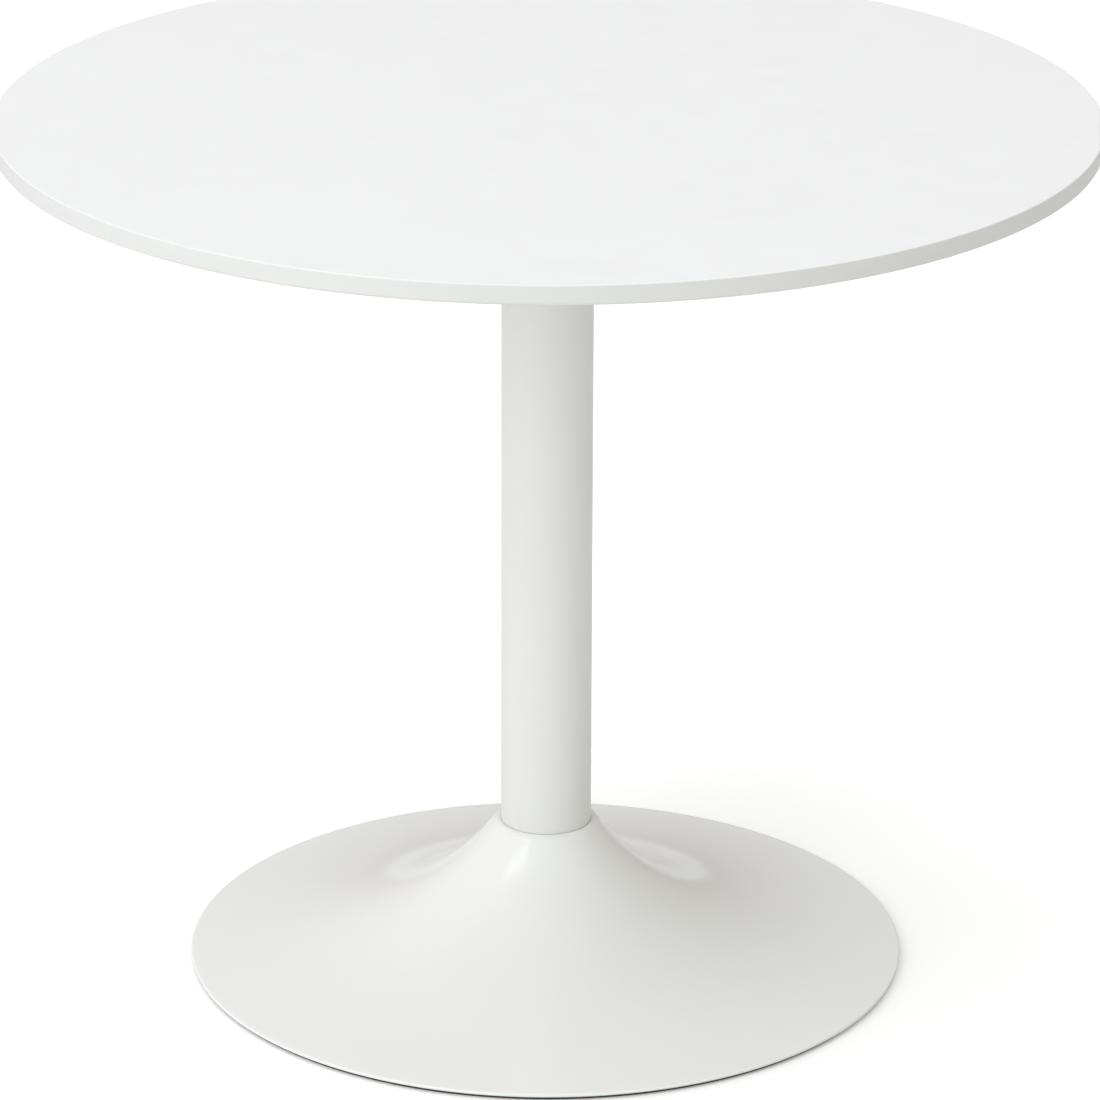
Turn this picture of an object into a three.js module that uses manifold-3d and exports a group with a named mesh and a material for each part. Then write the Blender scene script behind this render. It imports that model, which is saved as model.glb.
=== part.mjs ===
// Round pedestal table: a lacquered board on a steel tube column, over a spun trumpet base.
// Millimetres, +Z up. The origin is on the floor, at the centre of the column.
import * as THREE from 'three';
import { mergeVertices } from 'three/addons/utils/BufferGeometryUtils.js';
import Module from 'manifold-3d';

const wasm = await Module();
wasm.setup();

// Driving dimensions.
const TABLE_DIAMETER = 900;
const TABLE_HEIGHT = 740;
const TOP_THICKNESS = 16;
const COLUMN_DIAMETER = 76;
const COLUMN_WALL = 1.5;
const BASE_DIAMETER = 604;
const SHEET = 1.5;             // thickness of the spun base shell
const GAP = 0.3;               // clearance between pieces that touch
const BIG_FACETS = 80;         // facets round the board, the ballast and the floor ring
const SHELL_FACETS = 64;
const COLUMN_FACETS = 40;
const SMALL_FACETS = 12;
const OVERSHOOT = 1;           // how far a tool runs past the face that it cuts or joins

// Board.
const TOP_RADIUS = TABLE_DIAMETER / 2;
const TOP_UNDERSIDE = TABLE_HEIGHT - TOP_THICKNESS;
const UPPER_ARRIS = 1;
const LOWER_ROUND = 2.5;

// Mounting plate under the board, and its ring of fastenings.
const PLATE_RADIUS = 160;
const PLATE_THICKNESS = 4;
const PLATE_TOP = TOP_UNDERSIDE - GAP;
const PLATE_UNDERSIDE = PLATE_TOP - PLATE_THICKNESS;
const FASTENING_COUNT = 8;
const FASTENING_CIRCLE = 135;  // radius from the column's axis
const BOLT_RADIUS = 3;         // M6
const HOLE_CLEARANCE = 0.6;
const BOLT_HEAD_RADIUS = 5.4;
const BOLT_HEAD_HEIGHT = 3.3;
const BOLT_FACE_RADIUS = 3.35; // flat face round the socket
const BOLT_BUTTON_RADIUS = 4.75;
const BOLT_BUTTON_HEIGHT = 1.3;
const BOLT_REACH = 10;         // length of thread above the board's underside
const BOLT_POINT = 1;          // chamfer of the bolt's tip
const SOCKET_FLATS = 4;
const SOCKET_DEPTH = 2;
const WASHER_RADIUS = 6;
const WASHER_THICKNESS = 1.6;
const INSERT_RADIUS = 5;
const INSERT_LENGTH = 11.5;
const INSERT_POCKET = 12;      // depth of the blind hole in the board

// Floor ring and the rim that rests on it.
const RING_HEIGHT = 2.8;
const RING_RADIUS = 298;
const RING_WIDTH = 10;
const RING_CHAMFER = 0.6;
const RIM_RADIUS = 1.5;        // rounding of the rim's edge
const RIM_UNDERSIDE = RING_HEIGHT + GAP;
const HEM_WIDTH = 14;          // sheet folded back under the rim

// Neck of the base, where the column stands.
const COLUMN_FOOT = 120.5;
const GASKET_THICKNESS = 0.8;
const GASKET_WIDTH = 8;
const NECK_TOP = COLUMN_FOOT - 2 * GAP - GASKET_THICKNESS;
const RECESS_RADIUS = 38.4;    // the column's foot stands in a shallow recess of the neck
const RECESS_DEPTH = 1.5;
const NECK_LIP = NECK_TOP + RECESS_DEPTH;
const SHOULDER_OUTER = 47.4;
const SHOULDER_DROP = 5.3;     // from the recess's lip down to the start of the flare
const SHOULDER_ANGLE = THREE.MathUtils.degToRad(56);
const SHOULDER_REACH = 9;      // how far the shoulder's outer end holds its direction
const SHOULDER_STEPS = 3;
const FLARE_ANGLE = THREE.MathUtils.degToRad(53.5);
const FLARE_REACH = 116;       // how far the steep start of the flare holds its direction
const SKIRT_ANGLE = THREE.MathUtils.degToRad(4.5);
const SKIRT_REACH = 78;        // how far the shallow skirt holds its direction
const TRUMPET_STEPS = 10;

// Core that ties the base to the column.
const TIE_RADIUS = 6;          // M12
const TIE_CLEARANCE = 0.75;
const TIE_HEAD_FLATS = 19;
const TIE_HEAD_HEIGHT = 7.5;
const TIE_END = 134;
const TIE_POINT = 1.5;         // chamfer of the tie bolt's tip
const FOOT_DISC_THICKNESS = 10;
const SEAT_RADIUS = 35.5;
const SEAT_THICKNESS = 6;
const BALLAST_RADIUS = 171;
const BALLAST_THICKNESS = 10;
const BALLAST_UNDERSIDE = 16;
const FLAT_WASHER_RADIUS = 12;
const FLAT_WASHER_THICKNESS = 2.5;
const SPRING_WASHER_RADIUS = 10.2;
const SPRING_WASHER_THICKNESS = 3;
const SPRING_WASHER_SPLIT = 0.16;  // half angle of its cut, in radians
const WASHER_CLEARANCE = 0.5;

const FINISHES = {
    lacquer: { color: 0xf3f2ee, roughness: 0.45, metalness: 0 },
    basePaint: { color: 0xf1f0ec, roughness: 0.22, metalness: 0 },
    columnPaint: { color: 0xeceae6, roughness: 0.3, metalness: 0 },
    zinc: { color: 0xb8babc, roughness: 0.4, metalness: 1 },
    rawSteel: { color: 0x6f7174, roughness: 0.6, metalness: 1 },
    rubber: { color: 0x1c1c1d, roughness: 0.8, metalness: 0 },
    plastic: { color: 0xd6d6d2, roughness: 0.5, metalness: 0 },
};

const table = new THREE.Group();

function add(name, geometry, finish) {
    const mesh = new THREE.Mesh(geometry, new THREE.MeshStandardMaterial(FINISHES[finish]));
    mesh.name = name;
    table.add(mesh);
    return mesh;
}

// A solid of revolution about Z. Outline points are (radius, height), anticlockwise.
function revolve(points, facets) {
    const outline = points.map(([radius, height]) => new THREE.Vector2(radius, height));
    return new THREE.LatheGeometry(outline, facets).rotateX(Math.PI / 2);
}

function ring(innerRadius, outerRadius, bottom, top, facets) {
    const corners = [
        [innerRadius, bottom],
        [outerRadius, bottom],
        [outerRadius, top],
        [innerRadius, top],
        [innerRadius, bottom],
    ];
    return revolve(corners, facets);
}

function disc(radius, bottom, top, facets) {
    return revolve([[0, bottom], [radius, bottom], [radius, top], [0, top]], facets);
}

// Points of a circular arc in the (radius, height) plane, both ends included.
function arc(centreRadius, centreHeight, radius, startAngle, endAngle, steps) {
    const points = [];
    for (let step = 0; step <= steps; step += 1) {
        const angle = startAngle + (endAngle - startAngle) * step / steps;
        points.push([
            centreRadius + radius * Math.cos(angle),
            centreHeight + radius * Math.sin(angle),
        ]);
    }
    return points;
}

function hexagon(flats) {
    const shape = new THREE.Shape();
    for (let corner = 0; corner < 6; corner += 1) {
        const angle = corner * Math.PI / 3;
        const reach = flats / Math.sqrt(3);
        if (corner === 0) shape.moveTo(reach * Math.cos(angle), reach * Math.sin(angle));
        else shape.lineTo(reach * Math.cos(angle), reach * Math.sin(angle));
    }
    return shape;
}

function prism(shape, bottom, top, curveSegments = 1) {
    const options = { depth: top - bottom, bevelEnabled: false, curveSegments };
    return new THREE.ExtrudeGeometry(shape, options).translate(0, 0, bottom);
}

function toSolid(geometry) {
    const bare = geometry.clone();
    bare.deleteAttribute('normal');
    bare.deleteAttribute('uv');
    const merged = mergeVertices(bare, 1e-4);
    return new wasm.Manifold(new wasm.Mesh({
        numProp: 3,
        vertProperties: new Float32Array(merged.attributes.position.array),
        triVerts: new Uint32Array(merged.index.array),
    }));
}

function toGeometry(solid) {
    const mesh = solid.getMesh();
    const geometry = new THREE.BufferGeometry();
    geometry.setAttribute('position', new THREE.BufferAttribute(mesh.vertProperties, 3));
    geometry.setIndex(new THREE.BufferAttribute(mesh.triVerts, 1));
    return geometry;
}

function cut(geometry, tools) {
    let solid = toSolid(geometry);
    for (const tool of tools) solid = solid.subtract(toSolid(tool));
    return toGeometry(solid);
}

// Centres of the fastenings between the mounting plate and the board.
function fasteningPlaces() {
    const places = [];
    for (let index = 0; index < FASTENING_COUNT; index += 1) {
        const angle = (index + 0.5) * 2 * Math.PI / FASTENING_COUNT;
        places.push([FASTENING_CIRCLE * Math.cos(angle), FASTENING_CIRCLE * Math.sin(angle)]);
    }
    return places;
}

function addBoard() {
    const outline = [
        [0, TOP_UNDERSIDE],
        ...arc(TOP_RADIUS - LOWER_ROUND, TOP_UNDERSIDE + LOWER_ROUND, LOWER_ROUND,
            -Math.PI / 2, 0, 3),
        ...arc(TOP_RADIUS - UPPER_ARRIS, TABLE_HEIGHT - UPPER_ARRIS, UPPER_ARRIS,
            0, Math.PI / 2, 2),
        [0, TABLE_HEIGHT],
    ];
    const pocketRadius = INSERT_RADIUS + GAP;
    const pockets = fasteningPlaces().map(([x, y]) => disc(
        pocketRadius, TOP_UNDERSIDE - OVERSHOOT, TOP_UNDERSIDE + INSERT_POCKET, SMALL_FACETS,
    ).translate(x, y, 0));
    add('table_top', cut(revolve(outline, BIG_FACETS), pockets), 'lacquer');
}

function addMountingPlate() {
    const plate = disc(PLATE_RADIUS, PLATE_UNDERSIDE, PLATE_TOP, SHELL_FACETS);
    const holes = fasteningPlaces().map(([x, y]) => disc(
        BOLT_RADIUS + HOLE_CLEARANCE, PLATE_UNDERSIDE - OVERSHOOT, PLATE_TOP + OVERSHOOT,
        SMALL_FACETS,
    ).translate(x, y, 0));
    add('mounting_plate', cut(plate, holes), 'columnPaint');
}

// Button head bolt with a hexagon socket in its underside, pointing up.
function plateBolt() {
    const headTop = PLATE_UNDERSIDE - WASHER_THICKNESS - 2 * GAP;
    const headBottom = headTop - BOLT_HEAD_HEIGHT;
    const tip = TOP_UNDERSIDE + BOLT_REACH;
    const outline = [
        [0, headBottom],
        [BOLT_FACE_RADIUS, headBottom],
        [BOLT_BUTTON_RADIUS, headBottom + BOLT_BUTTON_HEIGHT],
        [BOLT_HEAD_RADIUS, headTop],
        [BOLT_RADIUS, headTop],
        [BOLT_RADIUS, tip - BOLT_POINT],
        [BOLT_RADIUS - BOLT_POINT, tip],
        [0, tip],
    ];
    const socket = prism(
        hexagon(SOCKET_FLATS), headBottom - OVERSHOOT, headBottom + SOCKET_DEPTH);
    return cut(revolve(outline, SMALL_FACETS), [socket]);
}

function addFastenings() {
    const bolt = plateBolt();
    const washerTop = PLATE_UNDERSIDE - GAP;
    const washer = ring(
        BOLT_RADIUS + GAP, WASHER_RADIUS, washerTop - WASHER_THICKNESS, washerTop, SMALL_FACETS,
    );
    const insert = ring(
        BOLT_RADIUS + GAP, INSERT_RADIUS, TOP_UNDERSIDE, TOP_UNDERSIDE + INSERT_LENGTH,
        SMALL_FACETS,
    );
    fasteningPlaces().forEach(([x, y], index) => {
        add(`plate_bolt_${index + 1}`, bolt, 'zinc').position.set(x, y, 0);
        add(`plate_washer_${index + 1}`, washer, 'zinc').position.set(x, y, 0);
        add(`top_insert_${index + 1}`, insert, 'zinc').position.set(x, y, 0);
    });
}

function addColumn() {
    const outer = COLUMN_DIAMETER / 2;
    const inner = outer - COLUMN_WALL;
    add('column_tube',
        ring(inner, outer, COLUMN_FOOT, PLATE_UNDERSIDE - GAP, COLUMN_FACETS), 'columnPaint');
    add('column_foot_disc',
        ring(TIE_RADIUS + GAP, inner - GAP, COLUMN_FOOT, COLUMN_FOOT + FOOT_DISC_THICKNESS,
            COLUMN_FACETS), 'rawSteel');
    add('column_gasket',
        ring(outer - GASKET_WIDTH, outer, NECK_TOP + GAP, NECK_TOP + GAP + GASKET_THICKNESS,
            COLUMN_FACETS), 'plastic');
}

// The trumpet's outer line, from the shoulder's kink down to the start of the rim's rounding.
function trumpetCurve() {
    const start = new THREE.Vector2(SHOULDER_OUTER, NECK_LIP - SHOULDER_DROP);
    const end = new THREE.Vector2(
        BASE_DIAMETER / 2 - RIM_RADIUS + RIM_RADIUS * Math.sin(SKIRT_ANGLE),
        RIM_UNDERSIDE + RIM_RADIUS + RIM_RADIUS * Math.cos(SKIRT_ANGLE),
    );
    const startHandle = new THREE.Vector2(
        start.x + FLARE_REACH * Math.cos(FLARE_ANGLE),
        start.y - FLARE_REACH * Math.sin(FLARE_ANGLE),
    );
    const endHandle = new THREE.Vector2(
        end.x - SKIRT_REACH * Math.cos(SKIRT_ANGLE),
        end.y + SKIRT_REACH * Math.sin(SKIRT_ANGLE),
    );
    return new THREE.CubicBezierCurve(start, startHandle, endHandle, end);
}

// The shoulder's outer line, from the flare's start up, over a low crest and in to the recess's lip.
function shoulderCurve() {
    const start = new THREE.Vector2(SHOULDER_OUTER, NECK_LIP - SHOULDER_DROP);
    const handle = new THREE.Vector2(
        start.x - SHOULDER_REACH * Math.cos(SHOULDER_ANGLE),
        start.y + SHOULDER_REACH * Math.sin(SHOULDER_ANGLE),
    );
    const lip = new THREE.Vector2(RECESS_RADIUS, NECK_LIP);
    return new THREE.QuadraticBezierCurve(start, handle, lip);
}

// The curve moved inwards by the sheet's thickness, cut off where the hem begins.
function trumpetInside(curve, largestRadius) {
    const points = [];
    for (let step = 0; step <= TRUMPET_STEPS; step += 1) {
        const place = curve.getPoint(step / TRUMPET_STEPS);
        const along = curve.getTangent(step / TRUMPET_STEPS);
        const radius = place.x + SHEET * along.y;
        if (radius < largestRadius) points.push([radius, place.y - SHEET * along.x]);
    }
    return points;
}

function addBaseShell() {
    const curve = trumpetCurve();
    const bore = TIE_RADIUS + TIE_CLEARANCE;
    const rimCentre = BASE_DIAMETER / 2 - RIM_RADIUS;
    const hemRadius = rimCentre - HEM_WIDTH;
    const outside = curve.getPoints(TRUMPET_STEPS).map((place) => [place.x, place.y]).reverse();
    const inside = trumpetInside(curve, hemRadius);
    const rimAngle = Math.PI / 2 - SKIRT_ANGLE;
    const hemTop = RIM_UNDERSIDE + 2 * RIM_RADIUS + HEM_WIDTH * Math.tan(SKIRT_ANGLE) - SHEET;
    const shoulder = shoulderCurve().getPoints(SHOULDER_STEPS).map((place) => [place.x, place.y]);
    const outline = [
        [bore, NECK_TOP - SHEET],
        [RECESS_RADIUS + SHEET / 2, NECK_TOP - SHEET],
        ...inside,
        [hemRadius, hemTop],
        [hemRadius, RIM_UNDERSIDE],
        ...arc(rimCentre, RIM_UNDERSIDE + RIM_RADIUS, RIM_RADIUS, -Math.PI / 2, rimAngle, 4),
        ...outside.slice(1),
        ...shoulder.slice(1),
        [RECESS_RADIUS, NECK_TOP],
        [bore, NECK_TOP],
        [bore, NECK_TOP - SHEET],
    ];
    add('base_shell', revolve(outline, SHELL_FACETS), 'basePaint');
}

function addFloorRing() {
    const outline = [
        [RING_RADIUS - RING_WIDTH, 0],
        [RING_RADIUS - RING_CHAMFER, 0],
        [RING_RADIUS, RING_CHAMFER],
        [RING_RADIUS, RING_HEIGHT],
        [RING_RADIUS - RING_WIDTH, RING_HEIGHT],
        [RING_RADIUS - RING_WIDTH, 0],
    ];
    add('floor_ring', revolve(outline, BIG_FACETS), 'rubber');
}

function splitRing(innerRadius, outerRadius, halfSplit) {
    const shape = new THREE.Shape();
    shape.absarc(0, 0, outerRadius, halfSplit, 2 * Math.PI - halfSplit, false);
    shape.absarc(0, 0, innerRadius, 2 * Math.PI - halfSplit, halfSplit, true);
    shape.closePath();
    return shape;
}

function addCore() {
    const bore = TIE_RADIUS + TIE_CLEARANCE;
    const washerBore = TIE_RADIUS + WASHER_CLEARANCE;
    const seatTop = NECK_TOP - SHEET - GAP;
    add('neck_seat',
        ring(bore, SEAT_RADIUS, seatTop - SEAT_THICKNESS, seatTop, COLUMN_FACETS), 'rawSteel');
    add('ballast_plate',
        ring(bore, BALLAST_RADIUS, BALLAST_UNDERSIDE, BALLAST_UNDERSIDE + BALLAST_THICKNESS,
            BIG_FACETS), 'rawSteel');

    const flatTop = BALLAST_UNDERSIDE - GAP;
    const springTop = flatTop - FLAT_WASHER_THICKNESS - GAP;
    const headTop = springTop - SPRING_WASHER_THICKNESS - GAP;
    add('tie_flat_washer',
        ring(washerBore, FLAT_WASHER_RADIUS, flatTop - FLAT_WASHER_THICKNESS, flatTop,
            2 * SMALL_FACETS), 'zinc');
    add('tie_spring_washer',
        prism(splitRing(washerBore, SPRING_WASHER_RADIUS, SPRING_WASHER_SPLIT),
            springTop - SPRING_WASHER_THICKNESS, springTop, SMALL_FACETS), 'zinc');

    const head = prism(hexagon(TIE_HEAD_FLATS), headTop - TIE_HEAD_HEIGHT, headTop);
    const shank = revolve([
        [0, headTop - OVERSHOOT],
        [TIE_RADIUS, headTop - OVERSHOOT],
        [TIE_RADIUS, TIE_END - TIE_POINT],
        [TIE_RADIUS - TIE_POINT, TIE_END],
        [0, TIE_END],
    ], 2 * SMALL_FACETS);
    add('tie_bolt', toGeometry(toSolid(head).add(toSolid(shank))), 'zinc');
}

addBoard();
addMountingPlate();
addFastenings();
addColumn();
addBaseShell();
addFloorRing();
addCore();

export default table;
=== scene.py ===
import math

import bmesh
import bpy
from mathutils import Matrix, Vector


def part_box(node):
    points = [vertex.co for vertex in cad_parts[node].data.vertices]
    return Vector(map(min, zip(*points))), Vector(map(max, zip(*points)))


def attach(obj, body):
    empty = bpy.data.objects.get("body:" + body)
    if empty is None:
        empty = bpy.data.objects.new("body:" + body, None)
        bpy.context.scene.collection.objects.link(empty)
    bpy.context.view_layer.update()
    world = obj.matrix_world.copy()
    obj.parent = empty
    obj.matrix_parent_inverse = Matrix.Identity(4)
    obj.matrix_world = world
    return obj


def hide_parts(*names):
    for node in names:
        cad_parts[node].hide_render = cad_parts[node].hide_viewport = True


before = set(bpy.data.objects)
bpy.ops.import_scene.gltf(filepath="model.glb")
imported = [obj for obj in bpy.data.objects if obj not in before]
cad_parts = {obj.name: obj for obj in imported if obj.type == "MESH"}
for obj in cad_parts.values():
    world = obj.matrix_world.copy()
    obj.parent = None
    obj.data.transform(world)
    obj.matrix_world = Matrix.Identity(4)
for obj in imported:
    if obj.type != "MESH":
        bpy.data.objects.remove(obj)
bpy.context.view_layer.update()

# The looks of the round pedestal table, in metres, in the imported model's frame.
FLOOR = 0.0
MM = 0.001
ROUND_FACETS = 192        # round the board, the base, its floor ring and its ballast
COLUMN_FACETS = 96        # round the column, its foot and the mounting plate
SMALL_FACETS = 48         # round the fastenings and their holes
CORNER_STEPS = 5          # along the arc of a rounded corner
ON_AXIS = 1e-7            # an outline's point that is nearer to Z than this lies on it
SHARP_ANGLE = math.radians(35)


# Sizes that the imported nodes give.

def radius_of(node):
    low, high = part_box(node)
    return (high.x - low.x) / 2


def span_of(node):
    low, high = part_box(node)
    return low.z, high.z


def centre_of(node):
    low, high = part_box(node)
    return (low + high) / 2


def numbered(stem):
    """The nodes named stem_1, stem_2 and so on, in order."""
    names = []
    while f"{stem}_{len(names) + 1}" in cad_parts:
        names.append(f"{stem}_{len(names) + 1}")
    return names


# Outlines, as (radius, height) points, anticlockwise.

def rounded(corners, steps=CORNER_STEPS):
    """The outline through corners, each given as (radius, height, rounding)."""
    outline = []
    for index, (x, z, rounding) in enumerate(corners):
        here = Vector((x, z))
        if not rounding:
            outline.append(here)
            continue
        before = Vector(corners[index - 1][:2]) - here
        after = Vector(corners[(index + 1) % len(corners)][:2]) - here
        before.normalize()
        after.normalize()
        half = before.angle(after) / 2
        centre = here + (before + after).normalized() * rounding / math.sin(half)
        start = (here + before * rounding / math.tan(half) - centre).normalized()
        end = (here + after * rounding / math.tan(half) - centre).normalized()
        outline += [centre + rounding * start.slerp(end, step / steps).normalized()
                    for step in range(steps + 1)]
    return outline


def disc_outline(node, lower_rounding, upper_rounding, steps=CORNER_STEPS):
    """A solid disc as big as the node."""
    radius = radius_of(node)
    bottom, top = span_of(node)
    return rounded([
        (0, bottom, 0), (radius, bottom, lower_rounding),
        (radius, top, upper_rounding), (0, top, 0),
    ], steps)


def ring_outline(inner, outer, bottom, top, rounding):
    """A ring with its four corners rounded alike."""
    return rounded([
        (inner, bottom, rounding), (outer, bottom, rounding),
        (outer, top, rounding), (inner, top, rounding),
    ])


def bored_outline(node, bore, rounding):
    """A disc as big as the node, with a hole of radius bore through it."""
    return ring_outline(bore, radius_of(node), *span_of(node), rounding)


def bezier(start, start_handle, end_handle, end, steps):
    """Points and directions along a cubic curve, both ends included."""
    places = []
    for step in range(steps + 1):
        t = step / steps
        s = 1 - t
        point = (start * s ** 3 + start_handle * 3 * s * s * t
                 + end_handle * 3 * s * t * t + end * t ** 3)
        along = ((start_handle - start) * s * s + (end_handle - start_handle) * 2 * s * t
                 + (end - end_handle) * t * t)
        places.append((point, along.normalized()))
    return places


# Meshes.

def object_of(name, built):
    """Turns a bmesh into an object of the scene."""
    bmesh.ops.recalc_face_normals(built, faces=built.faces)
    mesh = bpy.data.meshes.new(name)
    built.to_mesh(mesh)
    built.free()
    made = bpy.data.objects.new(name, mesh)
    bpy.context.scene.collection.objects.link(made)
    return made


def finish_mesh(name, built, material):
    """Turns a bmesh into a smooth-shaded object whose flat faces stay flat."""
    piece = object_of(name, built)
    piece.data.shade_smooth()
    piece.data.set_sharp_from_angle(angle=SHARP_ANGLE)
    piece.data.materials.append(material)
    flat_faces = piece.modifiers.new("flat_faces", "WEIGHTED_NORMAL")
    flat_faces.keep_sharp = True
    flat_faces.weight = 100
    return piece


def around(radius, angle, height):
    """The point at that radius and angle about Z."""
    return radius * math.cos(angle), radius * math.sin(angle), height


def skin(built, loops):
    """Adds the faces between each loop of vertices and the next."""
    for here, following in zip(loops, loops[1:]):
        for index in range(len(here)):
            built.faces.new((here[index - 1], here[index], following[index], following[index - 1]))


def turned(outline, facets, closed):
    """A bmesh of the outline turned about Z. closed joins its last point to its first."""
    built = bmesh.new()
    rings = []
    for radius, height in outline:
        if radius < ON_AXIS:
            rings.append([built.verts.new((0, 0, height))] * facets)
            continue
        rings.append([built.verts.new(around(radius, 2 * math.pi * facet / facets, height))
                      for facet in range(facets)])
    pairs = list(zip(rings, rings[1:]))
    if closed:
        pairs.append((rings[-1], rings[0]))
    for lower, upper in pairs:
        for facet in range(facets):
            following = (facet + 1) % facets
            corners = [lower[facet], lower[following], upper[following], upper[facet]]
            distinct = list(dict.fromkeys(corners))
            if len(distinct) > 2:
                built.faces.new(distinct)
    return built


def lathe(name, outline, facets, material, closed=True):
    return finish_mesh(name, turned(outline, facets, closed), material)


def stand_for(piece, node):
    """The piece shows in place of a CAD node, and moves with the one body."""
    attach(piece, "root")
    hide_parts(node)


# Materials.

NOISE_LOW = 0.3           # most of a noise lies between these two
NOISE_HIGH = 0.7
TONE_LOW = 0.35           # and two tones blend into each other between these
TONE_HIGH = 0.65


def new_material(name):
    """A new material, its node tree and its shader."""
    material = bpy.data.materials.new(name)
    material.use_nodes = True
    return material, material.node_tree, material.node_tree.nodes["Principled BSDF"]


def noise_at(tree, size, detail, roughness=0.5):
    """A noise texture whose features are about size metres across, fixed to the object."""
    place = tree.nodes.new("ShaderNodeTexCoord")
    noise = tree.nodes.new("ShaderNodeTexNoise")
    noise.inputs["Scale"].default_value = 1 / size
    noise.inputs["Detail"].default_value = detail
    noise.inputs["Roughness"].default_value = roughness
    tree.links.new(place.outputs["Object"], noise.inputs["Vector"])
    return noise.outputs["Fac"]


def spread(tree, noise, target, low, high):
    """Feeds target with the noise, stretched to run from low to high."""
    stretch = tree.nodes.new("ShaderNodeMapRange")
    stretch.inputs["From Min"].default_value = NOISE_LOW
    stretch.inputs["From Max"].default_value = NOISE_HIGH
    stretch.inputs["To Min"].default_value = low
    stretch.inputs["To Max"].default_value = high
    tree.links.new(noise, stretch.inputs["Value"])
    tree.links.new(stretch.outputs["Result"], target)


def tint(tree, noise, target, first, second):
    """Feeds a colour target with a blend from first to second, by the noise."""
    ramp = tree.nodes.new("ShaderNodeValToRGB")
    ramp.color_ramp.elements[0].position = TONE_LOW
    ramp.color_ramp.elements[1].position = TONE_HIGH
    ramp.color_ramp.elements[0].color = (*first, 1)
    ramp.color_ramp.elements[1].color = (*second, 1)
    tree.links.new(noise, ramp.inputs["Fac"])
    tree.links.new(ramp.outputs["Color"], target)


def bump(tree, noise, target, depth):
    """Feeds a normal target with a relief of the noise, depth metres deep."""
    relief = tree.nodes.new("ShaderNodeBump")
    relief.inputs["Strength"].default_value = 1.0
    relief.inputs["Distance"].default_value = depth
    tree.links.new(noise, relief.inputs["Height"])
    tree.links.new(relief.outputs["Normal"], target)


TONE_PATCH = 0.21         # size of the places where a paint's tone changes, in metres
GLOSS_PATCH = 0.035       # and of those where its gloss does
GLOSS_CHANGE = 0.15       # of its roughness


def painted(name, colour, shade, roughness, peel_size, peel_depth):
    """Sprayed or powder-coated paint: orange peel, faint unevenness in gloss and in tone."""
    material, tree, shader = new_material(name)
    tint(tree, noise_at(tree, TONE_PATCH, detail=3.0), shader.inputs["Base Color"],
         first=colour, second=shade)
    spread(tree, noise_at(tree, GLOSS_PATCH, detail=4.0), shader.inputs["Roughness"],
           low=roughness * (1 - GLOSS_CHANGE), high=roughness * (1 + GLOSS_CHANGE))
    bump(tree, noise_at(tree, peel_size, detail=1.0), shader.inputs["Normal"], depth=peel_depth)
    return material


def zinc_steel():
    """Bright zinc plating, slightly mottled, with the faint blue of its passivation."""
    material, tree, shader = new_material("zinc_steel")
    shader.inputs["Metallic"].default_value = 1.0
    tint(tree, noise_at(tree, size=0.003, detail=4.0), shader.inputs["Base Color"],
         first=(0.62, 0.63, 0.65), second=(0.5, 0.52, 0.55))
    spread(tree, noise_at(tree, size=0.0016, detail=3.0), shader.inputs["Roughness"],
           low=0.22, high=0.42)
    bump(tree, noise_at(tree, size=0.0004, detail=2.0), shader.inputs["Normal"], depth=0.00002)
    return material


def black_steel():
    """Cut plate under thin black primer: mill texture, dry patches and a few rubbed places."""
    material, tree, shader = new_material("black_steel")
    tint(tree, noise_at(tree, size=0.02, detail=8.0, roughness=0.65), shader.inputs["Base Color"],
         first=(0.028, 0.028, 0.03), second=(0.06, 0.058, 0.056))
    spread(tree, noise_at(tree, size=0.012, detail=6.0), shader.inputs["Roughness"],
           low=0.42, high=0.75)
    bump(tree, noise_at(tree, size=0.0018, detail=5.0, roughness=0.6), shader.inputs["Normal"],
         depth=0.00012)
    return material


def floor_rubber():
    """Matt black moulded rubber with a fine grain and a little floor dust."""
    material, tree, shader = new_material("floor_rubber")
    tint(tree, noise_at(tree, size=0.018, detail=6.0, roughness=0.6), shader.inputs["Base Color"],
         first=(0.022, 0.022, 0.023), second=(0.05, 0.049, 0.047))
    spread(tree, noise_at(tree, size=0.004, detail=3.0), shader.inputs["Roughness"],
           low=0.62, high=0.85)
    bump(tree, noise_at(tree, size=0.0007, detail=2.0), shader.inputs["Normal"], depth=0.00008)
    return material


def gasket_plastic():
    """Pale moulded plastic that lets a little light through."""
    material, tree, shader = new_material("gasket_plastic")
    shader.inputs["Subsurface Weight"].default_value = 0.2
    shader.inputs["Subsurface Scale"].default_value = 0.002
    tint(tree, noise_at(tree, size=0.01, detail=3.0), shader.inputs["Base Color"],
         first=(0.7, 0.7, 0.68), second=(0.62, 0.62, 0.6))
    spread(tree, noise_at(tree, size=0.005, detail=3.0), shader.inputs["Roughness"],
           low=0.4, high=0.6)
    bump(tree, noise_at(tree, size=0.001, detail=2.0), shader.inputs["Normal"], depth=0.00003)
    return material


LACQUER = painted("top_lacquer", colour=(0.74, 0.74, 0.735), shade=(0.73, 0.73, 0.724),
                  roughness=0.38, peel_size=0.003, peel_depth=0.000004)
ENAMEL = painted("base_paint", colour=(0.882, 0.88, 0.873), shade=(0.872, 0.869, 0.863),
                 roughness=0.13, peel_size=0.005, peel_depth=0.000005)
POWDER = painted("column_paint", colour=(0.803, 0.803, 0.79), shade=(0.793, 0.791, 0.778),
                 roughness=0.4, peel_size=0.0026, peel_depth=0.000004)
ZINC = zinc_steel()
BLACK = black_steel()
RUBBER = floor_rubber()
PLASTIC = gasket_plastic()


# The board.

BOARD_LOWER_ROUND = 2.5 * MM
BOARD_ARRIS = 1.0 * MM
BOARD_EDGE_STEPS = 6


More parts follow.
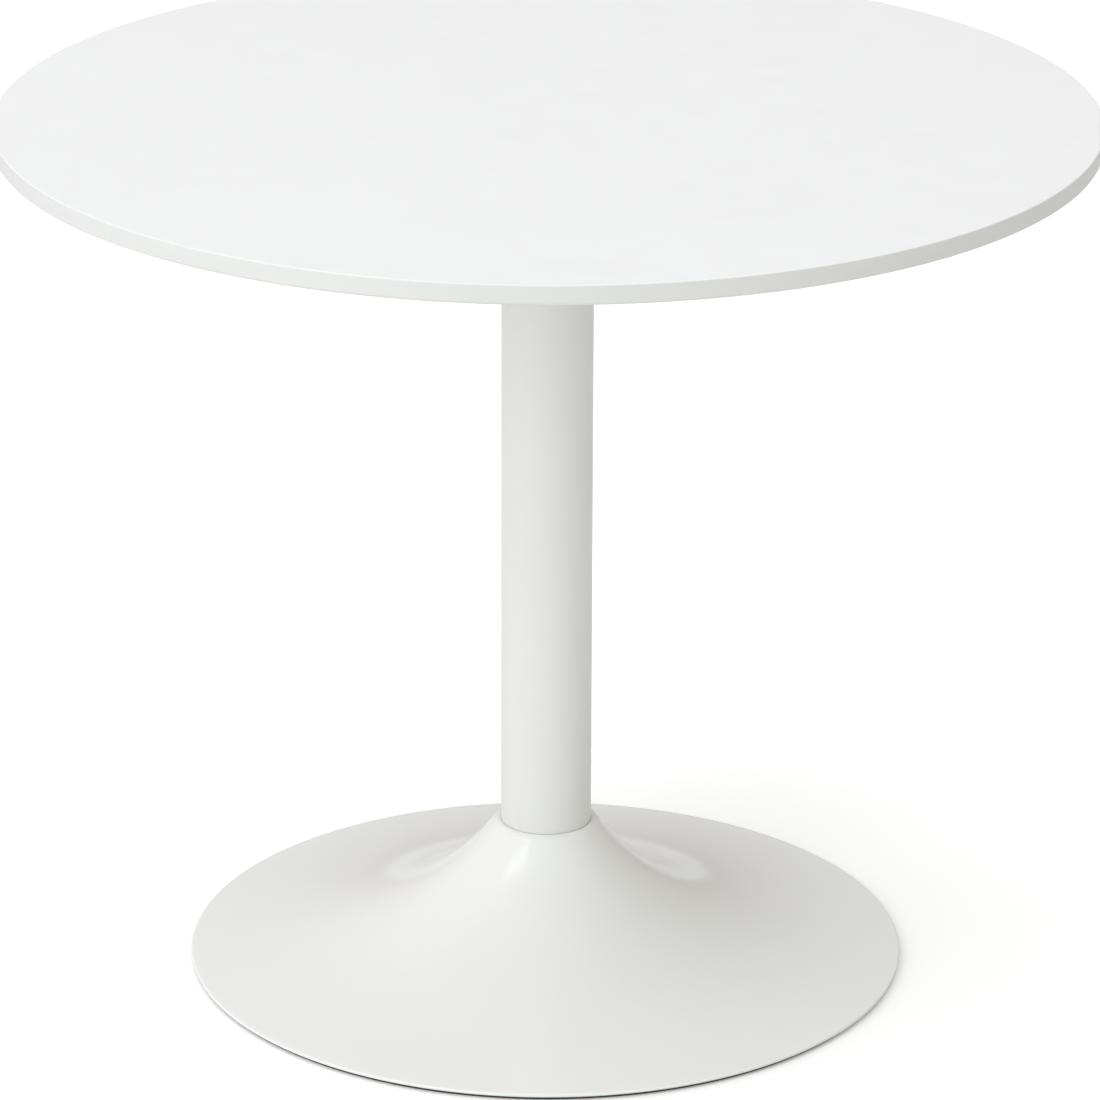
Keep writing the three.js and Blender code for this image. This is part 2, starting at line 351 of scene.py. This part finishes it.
def make_board():
    outline = disc_outline("table_top", BOARD_LOWER_ROUND, BOARD_ARRIS, BOARD_EDGE_STEPS)
    board = lathe("board", outline, ROUND_FACETS, LACQUER, closed=False)
    stand_for(board, "table_top")


# The base.

SHEET = 1.5 * MM
RIM_ROUNDING = 1.5 * MM
RIM_STEPS = 10
HEM_WIDTH = 14 * MM
HEM_DROP = 0.1 * MM       # between the sheet's underside and the hem
SHOULDER_RADIUS = 47.4 * MM
SHOULDER_DROP = 5.3 * MM
SHOULDER_ANGLE = math.radians(56)
SHOULDER_REACH = 9 * MM
SHOULDER_STEPS = 12
RECESS_RADIUS = 38.1 * MM
RECESS_DEPTH = 1.5 * MM
GASKET_CLEARANCE = 0.3 * MM
LIP_ROUNDING = 0.15 * MM
BORE_RADIUS = 6.75 * MM   # where the tie bolt passes the sheet, the neck's seat and the ballast
FLARE_ANGLE = math.radians(53.5)
FLARE_REACH = 116 * MM
FLARE_STEPS = 64
SKIRT_ANGLE = math.radians(4.5)
SKIRT_REACH = 78 * MM


def direction(angle):
    return Vector((math.cos(angle), math.sin(angle)))


def base_outline():
    """The spun sheet: down its inside from bore to hem, round the rim and up its outside."""
    rim_radius = radius_of("base_shell")
    rim_bottom, _ = span_of("base_shell")
    floor_of_recess = span_of("column_gasket")[0] - GASKET_CLEARANCE
    lip = floor_of_recess + RECESS_DEPTH
    rim_centre = Vector((rim_radius - RIM_ROUNDING, rim_bottom + RIM_ROUNDING))
    skirt_end = rim_centre + RIM_ROUNDING * direction(math.pi / 2 - SKIRT_ANGLE)
    flare_start = Vector((SHOULDER_RADIUS, lip - SHOULDER_DROP))
    flare = bezier(
        flare_start,
        flare_start + FLARE_REACH * direction(-FLARE_ANGLE),
        skirt_end - SKIRT_REACH * direction(-SKIRT_ANGLE),
        skirt_end, FLARE_STEPS)
    outside = [point for point, _ in reversed(flare)]
    hem_radius = rim_centre.x - HEM_WIDTH
    inside = []
    for point, along in flare:
        under = point + SHEET * Vector((along.y, -along.x))
        if under.x < hem_radius:
            inside.append(under)
    rim_sweep = math.pi - SKIRT_ANGLE
    rim = [rim_centre + RIM_ROUNDING * direction(-math.pi / 2 + rim_sweep * step / RIM_STEPS)
           for step in range(RIM_STEPS)]
    lip_start = Vector((RECESS_RADIUS + LIP_ROUNDING, lip))
    handle = flare_start + SHOULDER_REACH * direction(math.pi - SHOULDER_ANGLE)
    shoulder = []
    for step in range(SHOULDER_STEPS + 1):
        t = step / SHOULDER_STEPS
        shoulder.append(flare_start.lerp(handle, t).lerp(handle.lerp(lip_start, t), t))
    return [
        Vector((BORE_RADIUS, floor_of_recess - SHEET)),
        Vector((RECESS_RADIUS + SHEET / 2, floor_of_recess - SHEET)),
        *inside,
        Vector((hem_radius, inside[-1].y - HEM_DROP)),
        Vector((hem_radius, rim_bottom)),
        *rim,
        *outside[:-1],
        *shoulder,
        Vector((RECESS_RADIUS, lip - LIP_ROUNDING)),
        Vector((RECESS_RADIUS, floor_of_recess)),
        Vector((BORE_RADIUS, floor_of_recess)),
    ]


def make_base():
    trumpet = lathe("trumpet_base", base_outline(), ROUND_FACETS, ENAMEL)
    stand_for(trumpet, "base_shell")


RING_WIDTH = 10 * MM
RING_INNER_ROUND = 0.4 * MM
RING_OUTER_ROUND = 0.6 * MM
RING_TOP_ROUND = 0.3 * MM


def make_floor_ring():
    outer = radius_of("floor_ring")
    inner = outer - RING_WIDTH
    bottom, top = span_of("floor_ring")
    outline = rounded([
        (inner, bottom, RING_INNER_ROUND), (outer, bottom, RING_OUTER_ROUND),
        (outer, top, RING_TOP_ROUND), (inner, top, RING_TOP_ROUND),
    ])
    ring = lathe("rubber_ring", outline, ROUND_FACETS, RUBBER)
    stand_for(ring, "floor_ring")


# The column.

COLUMN_WALL = 1.5 * MM
COLUMN_END_ROUND = 0.2 * MM
FOOT_THREAD_RADIUS = 6.3 * MM
FOOT_ROUND = 0.5 * MM
GASKET_WIDTH = 8 * MM
GASKET_ROUND = 0.15 * MM


def make_column():
    tube = bored_outline("column_tube", radius_of("column_tube") - COLUMN_WALL, COLUMN_END_ROUND)
    stand_for(lathe("column", tube, COLUMN_FACETS, POWDER), "column_tube")
    foot = bored_outline("column_foot_disc", FOOT_THREAD_RADIUS, FOOT_ROUND)
    stand_for(lathe("foot_disc", foot, COLUMN_FACETS, BLACK), "column_foot_disc")
    gasket = bored_outline("column_gasket", radius_of("column_gasket") - GASKET_WIDTH, GASKET_ROUND)
    stand_for(lathe("gasket", gasket, COLUMN_FACETS, PLASTIC), "column_gasket")


WELD_LEG = 4 * MM
WELD_ROOT = 0.3 * MM      # how far the weld goes into the tube
WELD_BULGE = 0.5 * MM
WELD_ARC_STEPS = 8
WELD_RIPPLE = 0.25 * MM
WELD_RIPPLES = 96
FACETS_PER_RIPPLE = 6


def make_weld():
    """The fillet weld all round the column's top, under the mounting plate, with its ripples."""
    radius = radius_of("column_tube")
    plate_underside, _ = span_of("mounting_plate")
    plate_toe = Vector((radius + WELD_LEG, plate_underside))
    tube_toe = Vector((radius, plate_underside - WELD_LEG))
    outward = Vector((1, -1)).normalized()
    facets = FACETS_PER_RIPPLE * WELD_RIPPLES
    built = bmesh.new()
    sections = []
    for facet in range(facets):
        phase = facet * WELD_RIPPLES / facets % 1
        crest = WELD_RIPPLE * (1 - abs(2 * phase - 1))
        outline = [Vector((radius - WELD_ROOT, plate_underside - WELD_LEG)),
                   Vector((radius - WELD_ROOT, plate_underside))]
        for step in range(WELD_ARC_STEPS + 1):
            bulge = math.sin(math.pi * step / WELD_ARC_STEPS)
            flat = plate_toe.lerp(tube_toe, step / WELD_ARC_STEPS)
            outline.append(flat + (WELD_BULGE + crest) * bulge * outward)
        angle = 2 * math.pi * facet / facets
        sections.append([built.verts.new(around(reach, angle, height))
                         for reach, height in outline])
    skin(built, sections + sections[:1])
    weld = finish_mesh("plate_weld", built, POWDER)
    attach(weld, "root")


# Shapes that cut others or are joined to them.

CUTTER_EXCESS = 1 * MM    # how far a cutter reaches past what it cuts


def hexagon_prism(flats, bottom, top):
    """A bmesh of a hexagonal prism about Z; flats is its width across flats."""
    built = bmesh.new()
    reach = flats / math.sqrt(3)
    ends = [[built.verts.new(around(reach, corner * math.pi / 3, height)) for corner in range(6)]
            for height in (bottom, top)]
    built.faces.new(reversed(ends[0]))
    built.faces.new(ends[1])
    for corner in range(6):
        following = (corner + 1) % 6
        built.faces.new((ends[0][corner], ends[0][following], ends[1][following], ends[1][corner]))
    return built


def cut_with(piece, cutters, operation="DIFFERENCE"):
    """Cuts the piece's mesh with the cutters, or joins them to it, and deletes the cutters.

    It takes the piece's other modifiers into the mesh too.
    """
    for index, cutter in enumerate(cutters):
        step = piece.modifiers.new(f"step_{index}", "BOOLEAN")
        step.operation = operation
        step.solver = "EXACT"
        step.object = cutter
        piece.modifiers.move(len(piece.modifiers) - 1, index)
    bpy.context.view_layer.update()
    evaluated = piece.evaluated_get(bpy.context.evaluated_depsgraph_get())
    mesh = bpy.data.meshes.new_from_object(evaluated)
    piece.modifiers.clear()
    piece.data = mesh
    for cutter in cutters:
        bpy.data.objects.remove(cutter)


THREAD_DEPTH = 0.54       # this and the next three in pitches
CREST_END = 0.125
ROOT_START = 0.45
ROOT_END = 0.675


def screw_thread(radius, pitch, bottom, top, facets):
    """A bmesh of a right-hand thread about Z. It goes past bottom and top, to be cut there."""
    root = radius - THREAD_DEPTH * pitch
    section = ((0, radius), (CREST_END, radius), (ROOT_START, root), (ROOT_END, root))
    built = bmesh.new()
    winding = []          # lines of vertices, each once round along a corner of the section
    for turn in range(math.ceil((top - bottom) / pitch) + 2):
        for along, reach in section:
            line = []
            for facet in range(facets):
                height = bottom + pitch * (turn - 1 + along + facet / facets)
                line.append(built.verts.new(around(reach, 2 * math.pi * facet / facets, height)))
            winding.append(line)
    lap = len(section)
    for level in range(len(winding) - 1):
        for facet in range(facets - 1):
            built.faces.new((winding[level][facet], winding[level][facet + 1],
                             winding[level + 1][facet + 1], winding[level + 1][facet]))
        if level + 1 + lap < len(winding):
            built.faces.new((winding[level][-1], winding[level + lap][0],
                             winding[level + 1 + lap][0], winding[level + 1][-1]))
    # Each ragged end closes to a point on Z, beyond the part that is kept.
    first = winding[0] + [winding[level][0] for level in range(lap, 0, -1)]
    last = winding[-1] + [winding[level][-1] for level in range(-2, -2 - lap, -1)]
    for loop, height in ((first, bottom - 2 * pitch), (last, top + 3 * pitch)):
        middle = built.verts.new((0, 0, height))
        for here, following in zip(loop, loop[1:] + loop[:1]):
            built.faces.new((here, following, middle))
    return built


# Mounting plate and its fastenings.

PLATE_ROUND = 0.6 * MM
BOLT_HOLE_RADIUS = 3.6 * MM


def make_mounting_plate():
    outline = disc_outline("mounting_plate", PLATE_ROUND, PLATE_ROUND)
    plate = lathe("mounting_plate_round", outline, COLUMN_FACETS, POWDER, closed=False)
    bottom, top = span_of("mounting_plate")
    drills = []
    for node in numbered("plate_bolt"):
        place = centre_of(node)
        drill = turned([
            Vector((0, bottom - CUTTER_EXCESS)), Vector((BOLT_HOLE_RADIUS, bottom - CUTTER_EXCESS)),
            Vector((BOLT_HOLE_RADIUS, top + CUTTER_EXCESS)), Vector((0, top + CUTTER_EXCESS)),
        ], SMALL_FACETS, closed=False)
        bmesh.ops.translate(drill, verts=drill.verts, vec=(place.x, place.y, 0))
        drills.append(object_of("cutter", drill))
    cut_with(plate, drills)
    stand_for(plate, "mounting_plate")


HEAD_HEIGHT = 3.3 * MM
HEAD_RIM_ROUND = 0.2 * MM
HEAD_FACE_RADIUS = 3.3 * MM
HEAD_FACE_ROUND = 1.2 * MM
HEAD_CHEEK_RADIUS = 4.9 * MM      # half way down the side of the button head
HEAD_CHEEK_HEIGHT = 1.4 * MM
HEAD_CHEEK_ROUND = 1.0 * MM
SOCKET_FLATS = 4 * MM
SOCKET_DEPTH = 2 * MM
SHANK_RADIUS = 3.0 * MM
POINT_RADIUS = 2.2 * MM
POINT_HEIGHT = 0.8 * MM
BOLT_CLEARANCE_RADIUS = 3.3 * MM
WASHER_ROUND = 0.2 * MM
INSERT_ROUND = 0.3 * MM
TURN_EACH = 0.7           # in radians, so that no two fastenings stand alike


def button_head_bolt():
    """The bolt, head down, with a hexagonal socket in its head."""
    radius = radius_of("plate_bolt_1")
    bottom, top = span_of("plate_bolt_1")
    head_top = bottom + HEAD_HEIGHT
    outline = rounded([
        (0, bottom, 0), (HEAD_FACE_RADIUS, bottom, HEAD_FACE_ROUND),
        (HEAD_CHEEK_RADIUS, bottom + HEAD_CHEEK_HEIGHT, HEAD_CHEEK_ROUND),
        (radius, head_top, HEAD_RIM_ROUND), (SHANK_RADIUS, head_top, 0),
        (SHANK_RADIUS, top - POINT_HEIGHT, 0), (POINT_RADIUS, top, 0), (0, top, 0),
    ])
    bolt = lathe("bolt_pattern", outline, SMALL_FACETS, ZINC, closed=False)
    socket = hexagon_prism(SOCKET_FLATS, bottom - CUTTER_EXCESS, bottom + SOCKET_DEPTH)
    cut_with(bolt, [object_of("cutter", socket)])
    return bolt


def make_plate_fastenings():
    """Button-head bolts, washers and inserts: one mesh of each, used at every place."""
    washer = bored_outline("plate_washer_1", BOLT_CLEARANCE_RADIUS, WASHER_ROUND)
    insert = bored_outline("top_insert_1", BOLT_CLEARANCE_RADIUS, INSERT_ROUND)
    patterns = {
        "plate_bolt": button_head_bolt(),
        "plate_washer": lathe("washer_pattern", washer, SMALL_FACETS, ZINC),
        "top_insert": lathe("insert_pattern", insert, SMALL_FACETS, ZINC),
    }
    for stem, pattern in patterns.items():
        for index, node in enumerate(numbered(stem)):
            piece = pattern.copy()
            piece.name = f"{stem}_fine_{index + 1}"
            bpy.context.scene.collection.objects.link(piece)
            place = centre_of(node)
            piece.location = (place.x, place.y, 0)
            piece.rotation_euler.z = index * TURN_EACH
            bpy.context.view_layer.update()
            stand_for(piece, node)
        bpy.data.objects.remove(pattern)


# Ballast and the tie that holds the base to the column.

BALLAST_ROUND = 0.8 * MM
SEAT_ROUND = 0.5 * MM


def make_ballast():
    ballast = bored_outline("ballast_plate", BORE_RADIUS, BALLAST_ROUND)
    stand_for(lathe("ballast", ballast, ROUND_FACETS, BLACK), "ballast_plate")
    seat = bored_outline("neck_seat", BORE_RADIUS, SEAT_ROUND)
    stand_for(lathe("seat_ring", seat, ROUND_FACETS, BLACK), "neck_seat")


TIE_RADIUS = 6 * MM
TIE_PITCH = 1.75 * MM
TIE_THREAD = 30 * MM
TIE_POINT = 1.5 * MM
TIE_HEAD_FLATS = 19 * MM
TIE_HEAD_HEIGHT = 7.5 * MM
TIE_FACE_RADIUS = 0.47 * TIE_HEAD_FLATS
TIE_FACE_ROUND = 0.2 * MM
TIE_CHAMFER = 1.2 * MM    # the height of the chamfer on the head's corners
TIE_CORNER_ROUND = 0.1 * MM
TIE_OVERLAP = 0.5 * MM    # of the threaded part and the shank, where they join
TIE_WASHER_BORE = 6.5 * MM
TIE_WASHER_ROUND = 0.3 * MM


def make_tie_washer():
    outline = bored_outline("tie_flat_washer", TIE_WASHER_BORE, TIE_WASHER_ROUND)
    stand_for(lathe("tie_washer", outline, SMALL_FACETS, ZINC), "tie_flat_washer")


def make_tie_bolt():
    """Hexagon head with its corners chamfered below, plain shank, rolled thread at the top."""
    bottom, top = span_of("tie_bolt")
    head_top = bottom + TIE_HEAD_HEIGHT
    thread_bottom = top - TIE_THREAD
    corner = TIE_HEAD_FLATS / math.sqrt(3)
    outline = rounded([
        (0, bottom, 0), (TIE_FACE_RADIUS, bottom, TIE_FACE_ROUND),
        (corner, bottom + TIE_CHAMFER, 0), (corner, head_top, TIE_CORNER_ROUND),
        (TIE_RADIUS, head_top, 0), (TIE_RADIUS, thread_bottom, 0), (0, thread_bottom, 0),
    ])
    bolt = lathe("tie_screw", outline, SMALL_FACETS, ZINC, closed=False)
    hexagon = hexagon_prism(TIE_HEAD_FLATS, bottom - CUTTER_EXCESS, top)
    cut_with(bolt, [object_of("cutter", hexagon)], "INTERSECT")
    rolled = screw_thread(TIE_RADIUS, TIE_PITCH, thread_bottom, top, SMALL_FACETS)
    thread = object_of("cutter", rolled)
    pointed = turned([
        Vector((0, thread_bottom - TIE_OVERLAP)), Vector((TIE_RADIUS, thread_bottom - TIE_OVERLAP)),
        Vector((TIE_RADIUS, top - TIE_POINT)), Vector((TIE_RADIUS - TIE_POINT, top)),
        Vector((0, top)),
    ], SMALL_FACETS, closed=False)
    cut_with(thread, [object_of("cutter", pointed)], "INTERSECT")
    cut_with(bolt, [thread], "UNION")
    bolt.data.materials.clear()
    bolt.data.materials.append(ZINC)
    stand_for(bolt, "tie_bolt")


SPLIT = 0.16              # half angle of the spring washer's cut, in radians
SPRING_RISE = 0.5 * MM
SPRING_ROUND = 0.5 * MM
SPRING_CLEARANCE = 0.5 * MM
SPRING_STEPS = 64


def make_spring_washer():
    """A split ring of rounded square wire, its ends slightly apart in height."""
    inner = TIE_RADIUS + SPRING_CLEARANCE
    outer = radius_of("tie_spring_washer")
    bottom, top = span_of("tie_spring_washer")
    outline = ring_outline(inner, outer, bottom, top - SPRING_RISE, SPRING_ROUND)
    built = bmesh.new()
    sections = []
    for step in range(SPRING_STEPS + 1):
        along = step / SPRING_STEPS
        angle = SPLIT + along * (2 * math.pi - 2 * SPLIT)
        sections.append([built.verts.new(around(reach, angle, height + SPRING_RISE * along))
                         for reach, height in outline])
    skin(built, sections)
    built.faces.new(sections[0])
    built.faces.new(reversed(sections[-1]))
    stand_for(finish_mesh("split_washer", built, ZINC), "tie_spring_washer")


# Camera, lights and floor.

CAMERA_PLACE = Vector((0.0141, -4.6052, 2.0909))
CAMERA_DOWN = math.radians(20.575)
CAMERA_TURN = math.radians(0.143)
CAMERA_ROLL = math.radians(0.195)
LENS = 193.15             # this and the next in millimetres
SENSOR_WIDTH = 36.0
FARTHEST_SEEN = 100.0


def make_camera():
    data = bpy.data.cameras.new("camera")
    data.lens = LENS
    data.sensor_width = SENSOR_WIDTH
    data.clip_end = FARTHEST_SEEN
    camera = bpy.data.objects.new("camera", data)
    camera.matrix_world = (
        Matrix.Translation(CAMERA_PLACE)
        @ Matrix.Rotation(CAMERA_TURN, 4, "Z")
        @ Matrix.Rotation(math.pi / 2 - CAMERA_DOWN, 4, "X")
        @ Matrix.Rotation(CAMERA_ROLL, 4, "Z"))
    bpy.context.scene.collection.objects.link(camera)
    bpy.context.scene.camera = camera


LIGHTS_AIM = Vector((0, 0, 0.4))


def softbox(name, place, size, power, colour):
    data = bpy.data.lights.new(name, "AREA")
    data.shape = "RECTANGLE"
    data.size, data.size_y = size
    data.energy = power
    data.color = colour
    light = bpy.data.objects.new(name, data)
    light.location = place
    light.rotation_euler = (LIGHTS_AIM - Vector(place)).to_track_quat("-Z", "Y").to_euler()
    light.visible_camera = False
    bpy.context.scene.collection.objects.link(light)


def make_lights():
    """The overhead box, the one at the front left, and the strip that streaks the flare."""
    softbox("overhead", place=(0, 0, 3.6), size=(3.5, 3.5), power=59.4,
            colour=(0.907, 0.893, 1.0))
    softbox("front_left", place=(-2.2, -3.2, 1.9), size=(2.0, 2.0), power=30.9,
            colour=(0.944, 1.0, 0.989))
    softbox("strip", place=(-2.3, -1.4, 3.25), size=(1.7, 0.6), power=8,
            colour=(0.88, 0.9, 1.0))


# Soft light from the walls and the ceiling: where it comes from, its strength and its colour.
STUDIO_LIGHT = (
    ((-1, 0, 0), 0.784, (1.0, 0.923, 0.98)),
    ((1, 0, 0), 0.22, (1.0, 0.7, 0.67)),
    ((0, -1, 0), 0.642, (0.992, 1.0, 0.906)),
    ((0, 1, 0), 0.4, (1.0, 0.905, 0.83)),
    ((0, 0, 1), 0.527, (0.868, 1.0, 0.933)),
)
BACKDROP = 0.86           # how pale the studio looks to the camera, beyond the floor


def for_camera(tree, shown, unseen):
    """A shader that looks like shown to the camera, and acts like unseen on everything else."""
    rays = tree.nodes.new("ShaderNodeLightPath")
    choose = tree.nodes.new("ShaderNodeMixShader")
    tree.links.new(rays.outputs["Is Camera Ray"], choose.inputs["Fac"])
    tree.links.new(unseen, choose.inputs[1])
    tree.links.new(shown, choose.inputs[2])
    return choose.outputs["Shader"]


def glow_from(tree, towards, strength, colour):
    """A broad glow from one side of the world, which fades to nothing a quarter turn away."""
    sight = tree.nodes.new("ShaderNodeTexCoord")
    facing = tree.nodes.new("ShaderNodeVectorMath")
    facing.operation = "DOT_PRODUCT"
    facing.inputs[1].default_value = towards
    tree.links.new(sight.outputs["Generated"], facing.inputs[0])
    fade = tree.nodes.new("ShaderNodeMapRange")
    fade.inputs["To Max"].default_value = strength
    tree.links.new(facing.outputs["Value"], fade.inputs["Value"])
    glow = tree.nodes.new("ShaderNodeBackground")
    glow.inputs["Color"].default_value = (*colour, 1)
    tree.links.new(fade.outputs["Result"], glow.inputs["Strength"])
    return glow.outputs["Background"]


def make_world():
    """The studio's glows, behind a plain pale backdrop."""
    world = bpy.data.worlds.new("studio")
    world.use_nodes = True
    tree = world.node_tree
    total = None
    for towards, strength, colour in STUDIO_LIGHT:
        glow = glow_from(tree, towards, strength, colour)
        if total is not None:
            both = tree.nodes.new("ShaderNodeAddShader")
            tree.links.new(total, both.inputs[0])
            tree.links.new(glow, both.inputs[1])
            glow = both.outputs["Shader"]
        total = glow
    backdrop = tree.nodes["Background"]
    backdrop.inputs["Color"].default_value = (BACKDROP, BACKDROP, BACKDROP, 1)
    surface = for_camera(tree, backdrop.outputs["Background"], total)
    tree.links.new(surface, tree.nodes["World Output"].inputs["Surface"])
    bpy.context.scene.world = world


FLOOR_RADIUS = 30.0
FLOOR_SEGMENTS = 96
FLOOR_GAP = 0.0002        # under the floor ring, so that no two faces lie in one plane
FLOOR_SEEN = 0.95         # how white the floor is to the camera
FLOOR_SEEN_GLOW = 0.16    # and how brightly it glows to the camera
FLOOR_GREY = 0.8          # how white it is to all other light


def make_floor():
    built = bmesh.new()
    bmesh.ops.create_circle(built, cap_ends=True, segments=FLOOR_SEGMENTS, radius=FLOOR_RADIUS)
    bmesh.ops.translate(built, verts=built.verts, vec=(0, 0, FLOOR - FLOOR_GAP))
    material, tree, seen = new_material("studio_floor")
    seen.inputs["Base Color"].default_value = (FLOOR_SEEN, FLOOR_SEEN, FLOOR_SEEN, 1)
    seen.inputs["Specular IOR Level"].default_value = 0.0
    seen.inputs["Emission Color"].default_value = (1, 1, 1, 1)
    seen.inputs["Emission Strength"].default_value = FLOOR_SEEN_GLOW
    unseen = tree.nodes.new("ShaderNodeBsdfDiffuse")
    unseen.inputs["Color"].default_value = (FLOOR_GREY, FLOOR_GREY, FLOOR_GREY, 1)
    surface = for_camera(tree, seen.outputs["BSDF"], unseen.outputs["BSDF"])
    tree.links.new(surface, tree.nodes["Material Output"].inputs["Surface"])
    finish_mesh("studio_floor", built, material)


make_camera()
make_world()
make_lights()
make_floor()
make_board()
make_column()
make_weld()
make_base()
make_floor_ring()
make_mounting_plate()
make_plate_fastenings()
make_ballast()
make_tie_washer()
make_tie_bolt()
make_spring_washer()

bpy.context.scene.view_settings.view_transform = "Standard"
